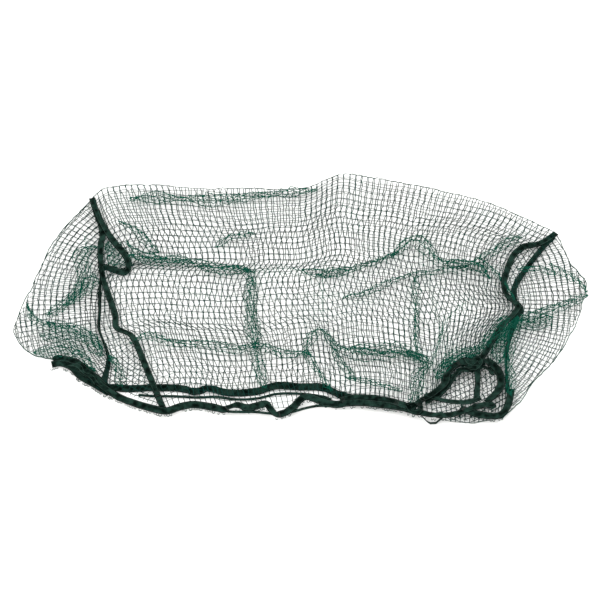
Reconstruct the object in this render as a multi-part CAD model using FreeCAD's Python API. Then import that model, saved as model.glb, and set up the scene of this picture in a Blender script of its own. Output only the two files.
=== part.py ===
import FreeCAD, Part
import math
import os

# A five-sided netting cover, collapsed flat on the ground with its open rim towards -Y.
# X runs along the rim, Y from the rim to the far fold, Z up. Origin: under the middle, on the ground.

# Driving dimensions, mm
lying_length = 1780.0        # left tip to right tip as it lies
lying_depth = 980.0          # rim to far fold as it lies
net_thickness = 2.0          # knotless netting, measured over its twine joints
layer_space = 14.0           # clear space between the lower and the upper netting
tape_width = 20.0            # finished width of every webbing tape
tape_thickness = 1.0         # one layer of webbing
binding_wrap = 4.0           # how far the rim tape wraps past the netting's edge
overlap_start = 0.775        # where the rim tape's two ends overlap, as shares of the front rim
overlap_end = 0.925
tack_end_share = 0.01        # from each end of the overlap to its bar tack
seam_tack_shares = (0.215, 0.24)  # tacks on the front rim where the left seam tape ends
loop_height = 30.0           # how high the loose rim loop stands on its edge
tail_height = 20.0           # how high the loose end of the seam tape stands on its edge
strip_thickness = 2.0        # doubled webbing standing on its edge
tack_width = 2.5             # a bar tack, along the tape
tack_share = 0.8             # a bar tack's length as a share of the tape's width
tack_height = 0.8
thread_width = 0.8           # a row of lockstitch, drawn as one run of thread
thread_height = 0.4
thread_inset = 4.0           # from a tape's edge to its row of stitches
fold_gap = 1.0               # between each netting edge and the fold line beside it
hinge_clearance = 2.0        # fold axis above the highest tape beside it

# Levels above the ground, mm
half_length = lying_length / 2
half_depth = lying_depth / 2
lower_net_z = tape_thickness
lower_top_z = lower_net_z + net_thickness
upper_net_z = lower_top_z + layer_space
upper_top_z = upper_net_z + net_thickness
upper_tape_z = upper_top_z + tape_thickness
binding_height = net_thickness + 2 * tape_thickness
upper_binding_z = upper_net_z - tape_thickness
fold_axis_z = upper_tape_z + hinge_clearance

# Lines in plan, as shares of the half length and the half depth
fold_left = [(-0.735, -0.70), (-0.735, 0.77)]
fold_right = [(0.735, -0.86), (0.905, 0.51)]
far_edge = [(-0.735, 0.77), (-0.62, 0.87), (-0.30, 0.84), (0.00, 0.86), (0.15, 0.98),
            (0.36, 0.90), (0.62, 0.77), (0.905, 0.51)]
front_rim = [(-0.735, -0.70), (-0.62, -0.79), (-0.48, -0.87), (-0.37, -0.82), (-0.26, -0.87),
             (-0.11, -0.90), (0.03, -0.79), (0.16, -0.77), (0.30, -0.81), (0.40, -0.88)]
back_rim = [(-0.735, -0.67), (-0.60, -0.71), (-0.35, -0.72), (-0.10, -0.68), (0.06, -0.70),
            (0.22, -0.77), (0.40, -0.88)]
right_hem = [(0.40, -0.88), (0.52, -0.98), (0.63, -0.99), (0.735, -0.86)]
left_front_seam = [(-0.72, 0.79), (-0.70, 0.33), (-0.68, 0.08), (-0.64, -0.24), (-0.58, -0.36),
                   (-0.53, -0.60), (-0.48, -0.87)]
left_back_seam = [(-0.72, 0.79), (-0.67, 0.50), (-0.61, 0.28), (-0.66, 0.10), (-0.70, -0.10),
                  (-0.68, -0.40), (-0.69, -0.68)]
right_front_seam = [(0.885, 0.54), (0.81, 0.30), (0.74, 0.04), (0.73, -0.14), (0.67, -0.30),
                    (0.61, -0.50)]
right_back_seam = [(0.885, 0.54), (0.78, 0.36), (0.71, 0.10), (0.72, -0.10), (0.71, -0.40),
                   (0.71, -0.80)]
right_seam_tail = [(0.61, -0.51), (0.60, -0.64), (0.59, -0.76), (0.55, -0.82), (0.48, -0.82)]
upper_loop = [(0.40, -0.85), (0.43, -0.74), (0.50, -0.62), (0.54, -0.50), (0.60, -0.47),
              (0.67, -0.54), (0.69, -0.67), (0.64, -0.82)]
lower_loop = [(0.42, -0.92), (0.50, -0.90), (0.57, -0.88), (0.64, -0.92), (0.70, -0.86),
              (0.71, -0.74)]
left_crease = [(-0.735, 0.77), (-0.80, 0.62), (-0.90, 0.22), (-1.00, -0.27), (-0.95, -0.45),
               (-0.86, -0.50)]
left_rim = [(-0.86, -0.50), (-0.80, -0.57), (-0.735, -0.70)]
right_crease = [(0.905, 0.51), (0.93, 0.30), (1.00, 0.03), (0.955, -0.15), (0.88, -0.45),
                (0.80, -0.70), (0.735, -0.86)]

side_samples = 16            # points taken along a line to draw one side of a tape
block_below = 50.0           # cutting blocks reach this far below and above the cover
block_height = 200.0


def place(share):
    """A plan point in mm, from its shares of the half length and the half depth."""
    return FreeCAD.Vector(share[0] * half_length, share[1] * half_depth, 0)


def smooth(points):
    """A smooth curve through points."""
    curve = Part.BSplineCurve()
    curve.interpolate(points)
    return curve


def line_through(shares):
    """A smooth curve through plan points given as shares."""
    return smooth([place(share) for share in shares])


def spot(curve, share, offset):
    """A point beside a curve, to its left by offset, and the curve's direction there."""
    parameter = curve.FirstParameter + (curve.LastParameter - curve.FirstParameter) * share
    along = curve.tangent(parameter)[0]
    across = FreeCAD.Vector(-along.y, along.x, 0)
    return curve.value(parameter) + across * offset, along


def side_of(curve, offset, start, end):
    """The stretch of a curve from start to end, moved to its left by offset."""
    points = []
    for step in range(side_samples + 1):
        share = start + (end - start) * step / side_samples
        points.append(spot(curve, share, offset)[0])
    return smooth(points)


def face_inside(edges):
    """The plan face inside edges that follow one another."""
    return Part.Face(Part.Wire(Part.__sortEdges__(edges)))


def band(curve, left, right, start=0.0, end=1.0):
    """The plan face between two offsets of a curve."""
    left_side = side_of(curve, left, start, end)
    right_side = side_of(curve, right, start, end)
    first_cap = Part.makeLine(right_side.StartPoint, left_side.StartPoint)
    last_cap = Part.makeLine(left_side.EndPoint, right_side.EndPoint)
    return face_inside([first_cap, left_side.toShape(), last_cap, right_side.toShape()])


def raised(face, bottom, height):
    """A plan face made solid from bottom upwards."""
    lifted = face.copy()
    lifted.translate(FreeCAD.Vector(0, 0, bottom))
    return lifted.extrude(FreeCAD.Vector(0, 0, height))


def column(face):
    """A plan face as a tall block, for cutting."""
    return raised(face, -block_below, block_height)


def beside_fold(fold, side):
    """Everything to the left (1) or right (-1) of a fold line, past its gap."""
    start = place(fold[0])
    along = (place(fold[1]) - start).normalize()
    across = FreeCAD.Vector(-along.y, along.x, 0) * side
    near = start + across * fold_gap - along * lying_length
    far = start + across * fold_gap + along * lying_length
    wide = across * (2 * lying_length)
    return column(Part.Face(Part.makePolygon([near, far, far + wide, near + wide, near])))


def bound_edge(curve, bottom, netting):
    """Webbing folded over the netting's edge, with a slot that the netting fills."""
    tape = raised(band(curve, tape_width - binding_wrap, -binding_wrap), bottom, binding_height)
    return tape.cut(netting)


def flat_tape(curve, bottom, start=0.0, end=1.0):
    """One layer of webbing lying flat."""
    return raised(band(curve, tape_width / 2, -tape_width / 2, start, end), bottom, tape_thickness)


def thread_row(curve, offset, bottom):
    """A row of stitching along a tape."""
    row = band(curve, offset + thread_width / 2, offset - thread_width / 2, 0.01, 0.99)
    return raised(row, bottom, thread_height)


def bar_tack(curve, share, offset, bottom):
    """A short dense row of stitching across a tape."""
    middle, along = spot(curve, share, offset)
    length = tape_width * tack_share
    corner = FreeCAD.Vector(-tack_width / 2, -length / 2, 0)
    tack = Part.makeBox(tack_width, length, tack_height, corner)
    turn = math.degrees(math.atan2(along.y, along.x))
    tack.rotate(FreeCAD.Vector(), FreeCAD.Vector(0, 0, 1), turn)
    tack.translate(middle + FreeCAD.Vector(0, 0, bottom))
    return tack


def strip_on_edge(curve, bottom, height):
    """Doubled webbing standing on its edge."""
    return raised(band(curve, strip_thickness / 2, -strip_thickness / 2), bottom, height)


# The lines that everything is laid along
far_line = line_through(far_edge)
front_line = line_through(front_rim)
back_line = line_through(back_rim)
hem_line = line_through(right_hem)
left_front_line = line_through(left_front_seam)
left_back_line = line_through(left_back_seam)
right_front_line = line_through(right_front_seam)
right_back_line = line_through(right_back_seam)
tail_line = line_through(right_seam_tail)
upper_loop_line = line_through(upper_loop)
lower_loop_line = line_through(lower_loop)
left_crease_line = line_through(left_crease)
left_rim_line = line_through(left_rim)
right_crease_line = line_through(right_crease)
far_inner_line = side_of(far_line, -net_thickness, 0, 1)
hem_inner_line = side_of(hem_line, net_thickness, 0, 1)
inside_folds = beside_fold(fold_left, -1).common(beside_fold(fold_right, 1))


def centre_face(rim_line):
    """The middle of the cover in plan, inside the turns at the far fold and the hem."""
    edges = [rim_line.toShape(), hem_inner_line.toShape(), far_inner_line.toShape()]
    edges.append(Part.makeLine(rim_line.EndPoint, hem_inner_line.StartPoint))
    edges.append(Part.makeLine(hem_inner_line.EndPoint, far_inner_line.EndPoint))
    edges.append(Part.makeLine(far_inner_line.StartPoint, rim_line.StartPoint))
    return face_inside(edges)


def left_of_seam(seam):
    """A block that covers everything to the left of a seam that runs towards the rim."""
    before = seam.StartPoint + FreeCAD.Vector(0, lying_depth, 0)
    after = seam.EndPoint - FreeCAD.Vector(0, lying_depth, 0)
    wide = FreeCAD.Vector(-2 * lying_length, 0, 0)
    edges = [Part.makeLine(before, seam.StartPoint), seam.toShape()]
    edges.append(Part.makeLine(seam.EndPoint, after))
    edges.append(Part.makeLine(after, after + wide))
    edges.append(Part.makeLine(after + wide, before + wide))
    edges.append(Part.makeLine(before + wide, before))
    return column(face_inside(edges))


def end_fold(crease, rim_edges, inward, fold, side, bottom):
    """The outer part of an end panel: two layers of netting joined at the outer crease."""
    outline = rim_edges + [crease.toShape(), Part.makeLine(place(fold[0]), place(fold[1]))]
    inner = side_of(crease, inward, 0, 1)
    past_fold = FreeCAD.Vector(math.copysign(2 * layer_space, inward), 0, 0)
    past_rim = FreeCAD.Vector(0, -2 * layer_space, 0)
    corners = [inner.EndPoint, inner.EndPoint + past_rim, place(fold[0]) + past_fold + past_rim]
    corners += [inner.StartPoint + past_fold, inner.StartPoint]
    sides = [Part.makeLine(one, two) for one, two in zip(corners, corners[1:])]
    space_edges = [inner.toShape()] + sides
    space_bottom = bottom + net_thickness
    space = raised(face_inside(space_edges), space_bottom, upper_net_z - space_bottom)
    whole = raised(face_inside(outline), bottom, upper_top_z - bottom)
    return whole.common(beside_fold(fold, side)).cut(space)


def make_netting():
    """The netting, in the pieces that it lies in."""
    upper_layer = raised(centre_face(front_line), upper_net_z, net_thickness)
    lower_layer = raised(centre_face(back_line), lower_net_z, net_thickness)
    wall_height = upper_top_z - lower_net_z
    far_turn = raised(band(far_line, 0, -net_thickness), lower_net_z, wall_height)
    hem_turn = raised(band(hem_line, net_thickness, 0), lower_net_z, wall_height)
    far_turn = far_turn.common(inside_folds)
    hem_turn = hem_turn.common(inside_folds)
    upper_layer = upper_layer.common(inside_folds)
    lower_layer = lower_layer.common(inside_folds)
    left_block = left_of_seam(left_front_line)
    middle_block = left_of_seam(right_front_line)
    right_part = upper_layer.cut(middle_block)
    return {
        "top_panel_net": far_turn,
        "back_panel_net": lower_layer,
        "front_panel_net": upper_layer.common(middle_block).cut(left_block).cut(hem_turn),
        "left_end_net_inner": upper_layer.common(left_block),
        "right_end_net_inner": right_part.fuse(hem_turn).removeSplitter(),
        "left_end_net_fold": end_fold(left_crease_line, [left_rim_line.toShape()], net_thickness,
                                      fold_left, 1, lower_net_z),
        "right_end_net_fold": end_fold(right_crease_line, [], -net_thickness, fold_right, -1, 0),
    }


def make_rim_tapes(nets):
    """The tape folded over the open rim, and its two loose loops at the right end."""
    upper_nets = nets["front_panel_net"].fuse([nets["left_end_net_inner"],
                                               nets["right_end_net_inner"]])
    front = bound_edge(front_line, upper_binding_z, upper_nets).common(inside_folds)
    back = bound_edge(back_line, 0, nets["back_panel_net"]).common(inside_folds)
    left_side = beside_fold(fold_left, 1)
    left_upper = bound_edge(left_rim_line, upper_binding_z, nets["left_end_net_fold"])
    left_lower = bound_edge(left_rim_line, 0, nets["left_end_net_fold"])
    left = Part.makeCompound([left_upper.common(left_side), left_lower.common(left_side)])
    lower_loop_tape = flat_tape(lower_loop_line, upper_top_z).cut(front)
    overlap = band(front_line, tape_width - binding_wrap, -binding_wrap, overlap_start, overlap_end)
    return {
        "front_rim_tape": front,
        "back_rim_tape": back.cut(nets["right_end_net_inner"]),
        "left_rim_tape": left,
        "right_rim_upper_loop": strip_on_edge(upper_loop_line, upper_tape_z, loop_height),
        "right_rim_lower_loop": lower_loop_tape,
        "rim_tape_overlap": raised(overlap, upper_tape_z, tape_thickness),
    }


def covered_by(rim_line):
    """The tall block over the middle of the cover, inside both fold lines."""
    return column(centre_face(rim_line)).common(inside_folds)


def make_seam_tapes(rims, nets):
    """The tapes over the four upright seams, their turns at the far fold and one loose tail."""
    above = covered_by(front_line)
    within = covered_by(back_line)
    left_front = flat_tape(left_front_line, upper_top_z).common(above)
    left_back = flat_tape(left_back_line, 0).common(within)
    turn_share = tape_width / far_line.length()
    turns = []
    for start in (turn_share / 2, 1 - 1.5 * turn_share):
        face = band(far_line, tape_thickness, 0, start, start + turn_share)
        turn = raised(face, 0, upper_tape_z).common(inside_folds)
        turns.append(turn.cut(nets["top_panel_net"]))
    return {
        "left_front_seam_tape": left_front.cut(rims["front_rim_tape"]),
        "right_front_seam_tape": flat_tape(right_front_line, upper_top_z).common(above),
        "left_back_seam_tape": left_back.cut(rims["back_rim_tape"]),
        "right_back_seam_tape": flat_tape(right_back_line, 0).common(within),
        "left_seam_tape_turn": turns[0],
        "right_seam_tape_turn": turns[1],
        "right_seam_tape_tail": strip_on_edge(tail_line, upper_tape_z, tail_height),
    }


def make_stitching(rims):
    """Rows of lockstitch along the tapes, and bar tacks where tapes end or meet."""
    rim_row = tape_width - binding_wrap - thread_inset
    over = rims["rim_tape_overlap"].fuse(rims["right_rim_upper_loop"])
    front = thread_row(front_line, rim_row, upper_tape_z).cut(over)
    back = thread_row(back_line, rim_row, binding_height)
    threads = {
        "front_rim_stitches": front.common(inside_folds),
        "back_rim_stitches": back.common(inside_folds),
    }
    above = covered_by(front_line).cut(rims["front_rim_tape"])
    seam_row = tape_width / 2 - thread_inset
    crossed = front.fuse(rims["right_rim_upper_loop"])
    for name, line in (("left", left_front_line), ("right", right_front_line)):
        rows = [thread_row(line, side * seam_row, upper_tape_z).common(above) for side in (-1, 1)]
        rows = [row.cut(crossed) for row in rows]
        threads[name + "_front_seam_stitches"] = Part.makeCompound(rows)
    rim_middle = tape_width / 2 - binding_wrap
    overlap_top = upper_tape_z + tape_thickness
    ends = (overlap_start + tack_end_share, overlap_end - tack_end_share)
    at_overlap = [bar_tack(front_line, share, rim_middle, overlap_top) for share in ends]
    threads["overlap_bar_tacks"] = Part.makeCompound(at_overlap)
    at_seam = [bar_tack(front_line, share, rim_middle, upper_tape_z) for share in seam_tack_shares]
    threads["seam_end_bar_tacks"] = Part.makeCompound(at_seam)
    threads["front_rim_stitches"] = threads["front_rim_stitches"].cut(threads["seam_end_bar_tacks"])
    return threads


def centre_on_origin(pieces):
    """Every piece moved so that the origin is under the middle of the whole cover."""
    box = Part.makeCompound(list(pieces.values())).optimalBoundingBox()
    shift = FreeCAD.Vector(-box.Center.x, -box.Center.y, -box.ZMin)
    for shape in pieces.values():
        shape.translate(shift)
    for name, fold in (("left", fold_left), ("right", fold_right)):
        near = place(fold[0]) + shift
        along = (place(fold[1]) - place(fold[0])).normalize()
        print(name, "fold axis at", near.x, near.y, fold_axis_z, "along", along.x, along.y)


def write_step(name, shape):
    """One sub-part as a STEP file."""
    shape.exportStep(os.path.join("parts", name + ".step"))
    state = "valid" if shape.isValid() else "not valid"
    print(name, len(shape.Solids), "solids", round(shape.Volume), "mm3", state)


def main():
    os.makedirs("parts", exist_ok=True)
    nets = make_netting()
    rims = make_rim_tapes(nets)
    pieces = {}
    pieces.update(nets)
    pieces.update(rims)
    pieces.update(make_seam_tapes(rims, nets))
    pieces.update(make_stitching(rims))
    centre_on_origin(pieces)
    for name, shape in pieces.items():
        write_step(name, shape)


main()
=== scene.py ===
import math

import bpy
import numpy as np
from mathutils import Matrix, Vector


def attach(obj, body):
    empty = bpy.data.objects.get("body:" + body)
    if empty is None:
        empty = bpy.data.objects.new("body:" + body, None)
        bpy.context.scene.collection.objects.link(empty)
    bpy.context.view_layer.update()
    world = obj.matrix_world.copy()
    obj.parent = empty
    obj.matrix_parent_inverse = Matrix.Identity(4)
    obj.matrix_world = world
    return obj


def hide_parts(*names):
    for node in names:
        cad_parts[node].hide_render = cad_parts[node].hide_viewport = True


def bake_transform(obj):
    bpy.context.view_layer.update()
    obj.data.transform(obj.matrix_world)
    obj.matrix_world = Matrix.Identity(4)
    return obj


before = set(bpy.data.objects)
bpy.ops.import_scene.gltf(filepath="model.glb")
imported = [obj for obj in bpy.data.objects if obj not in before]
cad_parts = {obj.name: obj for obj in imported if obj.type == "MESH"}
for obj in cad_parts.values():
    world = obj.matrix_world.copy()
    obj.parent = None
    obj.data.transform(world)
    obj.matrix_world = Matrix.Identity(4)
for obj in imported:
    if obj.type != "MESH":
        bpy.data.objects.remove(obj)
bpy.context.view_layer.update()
print("frame loaded", len(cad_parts), "nodes")

# Half of the lying cover, and where the middle of its plan sits; points below are shares of these
halfSize = np.array([0.89, 0.49])
planMiddle = np.array([0.0007, 0.0033])
meshPitch = 0.020
upperHeight = 0.018  # middle of the upper netting
lowerHeight = 0.0025
lowestTwine = 0.0012  # nothing lies nearer the ground than this
fullTurn = 6.28
waveBand = math.pi / 10  # spacing of a wave texture's bands at scale 1


def place(shares):
    return np.array(shares, float) * halfSize + planMiddle


def smoothLine(points, samples=16):
    p = np.array(points, float)
    ends = np.vstack([2 * p[0] - p[1], p, 2 * p[-1] - p[-2]])
    t = np.linspace(0, 1, samples, endpoint=False)[:, None]
    parts = []
    for a, b, c, d in zip(ends, ends[1:], ends[2:], ends[3:]):
        bent = (2 * a - 5 * b + 4 * c - d) * t**2 + (3 * b - a - 3 * c + d) * t**3
        parts.append(0.5 * (2 * b + (c - a) * t + bent))
    return np.vstack(parts + [p[-1:]])


def readAlong(line, shares):
    steps = np.linalg.norm(np.diff(line, axis=0), axis=1)
    far = np.concatenate([[0], np.cumsum(steps)]) / steps.sum()
    return np.stack([np.interp(shares, far, line[:, k]) for k in range(line.shape[1])], -1)


def lineLength(line):
    return np.linalg.norm(np.diff(line, axis=0), axis=1).sum()


def easing(value):
    value = np.clip(value, 0, 1)
    return value * value * (3 - 2 * value)


def toLinear(code):
    parts = [int(code[k:k + 2], 16) / 255 for k in (1, 3, 5)]
    parts = [p / 12.92 if p <= 0.04045 else ((p + 0.055) / 1.055) ** 2.4 for p in parts]
    return (*parts, 1.0)


def addNode(tree, kind, inputs=None, **settings):
    node = tree.nodes.new(kind)
    for name, value in settings.items():
        setattr(node, name, value)
    for socket, value in (inputs or {}).items():
        target = node.inputs[socket]
        if isinstance(value, bpy.types.NodeSocket):
            tree.links.new(value, target)
        else:
            target.default_value = value
    return node


def startMaterial(name):
    made = bpy.data.materials.new(name)
    made.use_nodes = True
    tree = made.node_tree
    tree.nodes.clear()
    return made, tree


def finishMaterial(made, tree, look, colour, height):
    bump = addNode(tree, "ShaderNodeBump", {
        "Height": height, "Strength": look["bumpStrength"], "Distance": look["bumpDepth"]})
    shader = addNode(tree, "ShaderNodeBsdfPrincipled", {
        "Base Color": colour, "Roughness": look["roughness"], "IOR": look["ior"],
        "Normal": bump.outputs["Normal"], "Specular IOR Level": look["gloss"]})
    addNode(tree, "ShaderNodeOutputMaterial", {"Surface": shader.outputs["BSDF"]})
    return made


# Twine: knotless knitted polymer, a thin matt cord that reads almost black; where it is heaped it is painted a
# brighter green, a painted glow for light scattered through the layers
twineLook = {"base": "#02302A", "shade": "#01211B", "worn": "#0B5243", "heapedGlow": "#004838", "roughness": 0.55,
             "ior": 1.49, "gloss": 0.08, "bumpStrength": 0.5, "bumpDepth": 0.0002,
             "fibreSize": 0.003, "strandLength": 0.0113, "patchSize": 0.12}


def makeTwineMaterial():
    look = twineLook
    made, tree = startMaterial("knitted polypropylene twine")
    place3 = addNode(tree, "ShaderNodeTexCoord").outputs["Object"]
    patches = addNode(tree, "ShaderNodeTexNoise", {
        "Vector": place3, "Scale": 1 / look["patchSize"], "Detail": 3.0})
    fibres = addNode(tree, "ShaderNodeTexNoise", {
        "Vector": place3, "Scale": 1 / look["fibreSize"], "Detail": 2.0})
    tone = addNode(tree, "ShaderNodeValToRGB", {"Fac": patches.outputs["Fac"]})
    tone.color_ramp.elements[0].position, tone.color_ramp.elements[0].color = 0.35, toLinear(look["shade"])
    tone.color_ramp.elements[1].position, tone.color_ramp.elements[1].color = 0.65, toLinear(look["base"])
    speck = addNode(tree, "ShaderNodeMapRange", {
        "Value": fibres.outputs["Fac"], "From Min": 0.55, "From Max": 0.8, "To Min": 0.0, "To Max": 0.35})
    # painted glow: the heaped twine is mixed towards a brighter green, standing in for light scattered through
    # the layers
    heap = addNode(tree, "ShaderNodeAttribute", attribute_name="heapedGlow").outputs["Fac"]
    glowTone = addNode(tree, "ShaderNodeMix", {0: heap, 6: tone.outputs["Color"], 7: toLinear(look["heapedGlow"])},
                   data_type="RGBA")
    mix = addNode(tree, "ShaderNodeMix", {
        0: speck.outputs["Result"], 6: glowTone.outputs[2], 7: toLinear(look["worn"])}, data_type="RGBA")
    strands = addNode(tree, "ShaderNodeTexWave", {
        "Vector": place3, "Scale": 2 * waveBand / look["strandLength"], "Distortion": 2.0, "Detail": 1.0},
        bands_direction="DIAGONAL")
    return finishMaterial(made, tree, look, mix.outputs[2], strands.outputs["Fac"])


# Tape: woven polypropylene webbing, near black green in random dark patches, with a fine rib and edges
# darkened by painted shade
tapeLook = {"base": "#233B33", "shade": "#010B07", "edge": "#000302", "roughness": 0.7,
            "ior": 1.49, "gloss": 0.02,
            "bumpStrength": 0.7, "bumpDepth": 0.0004,
            "warpSpacing": 0.00088, "weftSpacing": 0.00138, "mottleSize": 1 / 46,
            "edgeShadeStart": 0.36, "width": 0.020}


def makeTapeMaterial():
    look = tapeLook
    made, tree = startMaterial("woven polypropylene tape")
    flat = addNode(tree, "ShaderNodeUVMap", uv_map="UVMap").outputs["UV"]
    parts = addNode(tree, "ShaderNodeSeparateXYZ", {"Vector": flat})
    warp = addNode(tree, "ShaderNodeTexWave", {
        "Vector": flat, "Scale": waveBand / look["warpSpacing"], "Distortion": 0.4}, bands_direction="Y")
    weft = addNode(tree, "ShaderNodeTexWave", {
        "Vector": flat, "Scale": waveBand / look["weftSpacing"], "Distortion": 0.6}, bands_direction="X")
    weave = addNode(tree, "ShaderNodeMath", {
        0: warp.outputs["Fac"], 1: weft.outputs["Fac"]}, operation="MULTIPLY")
    place3 = addNode(tree, "ShaderNodeTexCoord").outputs["Object"]
    # random dark patches over the tape, drawn from noise
    mottle = addNode(tree, "ShaderNodeTexNoise", {
        "Vector": place3, "Scale": 1 / look["mottleSize"], "Detail": 6.0, "Roughness": 0.6})
    tone = addNode(tree, "ShaderNodeValToRGB", {"Fac": mottle.outputs["Fac"]})
    tone.color_ramp.elements[0].position, tone.color_ramp.elements[0].color = 0.41, toLinear(look["shade"])
    tone.color_ramp.elements[1].position, tone.color_ramp.elements[1].color = 0.60, toLinear(look["base"])
    off = addNode(tree, "ShaderNodeMath", {0: parts.outputs["Y"]}, operation="ABSOLUTE")
    # painted shade along the tape's edges: the colour darkens towards them
    edgeShadeMask = addNode(tree, "ShaderNodeMapRange", {
        "Value": off.outputs["Value"], "From Min": look["width"] * look["edgeShadeStart"],
        "From Max": look["width"] * 0.5, "To Min": 0.0, "To Max": 0.85})
    edge = addNode(tree, "ShaderNodeMix", {
        0: edgeShadeMask.outputs["Result"], 6: tone.outputs["Color"], 7: toLinear(look["edge"])}, data_type="RGBA")
    ribs = addNode(tree, "ShaderNodeMix", {0: 0.45, 6: edge.outputs[2], 7: weave.outputs["Value"]},
                   data_type="RGBA", blend_type="MULTIPLY")
    return finishMaterial(made, tree, look, ribs.outputs[2], weave.outputs["Value"])


# Thread: bonded polyester, a shade paler than the tape in rows of stitches, and near black in bar tacks
threadLook = {"base": "#1E4437", "shade": "#0C2A20", "roughness": 0.5, "ior": 1.5, "gloss": 0.5,
              "bumpStrength": 0.4, "bumpDepth": 0.0002, "grainSize": 1 / 900}
tackLook = {**threadLook, "base": "#071810", "shade": "#020A06", "roughness": 0.7}


def makeThreadMaterial(name, look):
    made, tree = startMaterial(name)
    place3 = addNode(tree, "ShaderNodeTexCoord").outputs["Object"]
    grain = addNode(tree, "ShaderNodeTexNoise", {
        "Vector": place3, "Scale": 1 / look["grainSize"], "Detail": 1.0})
    tone = addNode(tree, "ShaderNodeValToRGB", {"Fac": grain.outputs["Fac"]})
    tone.color_ramp.elements[0].color = toLinear(look["shade"])
    tone.color_ramp.elements[1].color = toLinear(look["base"])
    return finishMaterial(made, tree, look, tone.outputs["Color"], grain.outputs["Fac"])


twineMaterial = makeTwineMaterial()
tapeMaterial = makeTapeMaterial()
threadMaterial = makeThreadMaterial("bonded polyester thread", threadLook)
tackMaterial = makeThreadMaterial("dense bar tack thread", tackLook)
print("materials made")

# Camera, floor and light
view = {"elevation": 53.0, "distance": 20.0, "across": 1.848, "aim": (-0.006, -0.002, 0.0), "sensor": 36}
studio = {"floor": "#F6F6F4", "floorHalf": 12, "floorDrop": 0.001, "roomLight": 1.55}
lamps = (("key", (-2.2, -2.6, 4.0), 3.0, 120), ("fill", (3.0, 1.0, 3.6), 3.5, 60))  # place, size, watts


def makeStage():
    camera = bpy.data.cameras.new("camera")
    camera.sensor_width = view["sensor"]
    camera.lens = view["sensor"] * view["distance"] / view["across"]
    eye = bpy.data.objects.new("camera", camera)
    bpy.context.collection.objects.link(eye)
    lift = math.radians(view["elevation"])
    back = Vector((0, -math.cos(lift), math.sin(lift)))
    eye.location = Vector(view["aim"]) + back * view["distance"]
    eye.rotation_euler = (-back).to_track_quat("-Z", "Y").to_euler()
    bpy.context.scene.camera = eye
    made, tree = startMaterial("pale studio floor")
    shader = addNode(tree, "ShaderNodeBsdfDiffuse", {"Color": toLinear(studio["floor"])})
    addNode(tree, "ShaderNodeOutputMaterial", {"Surface": shader.outputs["BSDF"]})
    sheet = bpy.data.meshes.new("floor")
    side = studio["floorHalf"]
    corners = [(-side, -side, 0), (side, -side, 0), (side, side, 0), (-side, side, 0)]
    sheet.from_pydata(corners, [], [(0, 1, 2, 3)])
    sheet.materials.append(made)
    floor = bpy.data.objects.new("floor", sheet)
    floor.location.z = -studio["floorDrop"]
    bpy.context.collection.objects.link(floor)
    for name, spot, size, power in lamps:
        lamp = bpy.data.lights.new(name, "AREA")
        lamp.size, lamp.energy = size, power
        holder = bpy.data.objects.new(name, lamp)
        holder.location = spot
        holder.rotation_euler = (-Vector(spot)).to_track_quat("-Z", "Y").to_euler()
        bpy.context.collection.objects.link(holder)
    world = bpy.data.worlds.new("soft white room")
    world.use_nodes = True
    world.node_tree.nodes["Background"].inputs["Color"].default_value = (1, 1, 1, 1)
    world.node_tree.nodes["Background"].inputs["Strength"].default_value = studio["roomLight"]
    bpy.context.scene.world = world
    bpy.context.scene.view_settings.view_transform = "Standard"


makeStage()
print("stage made")

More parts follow.
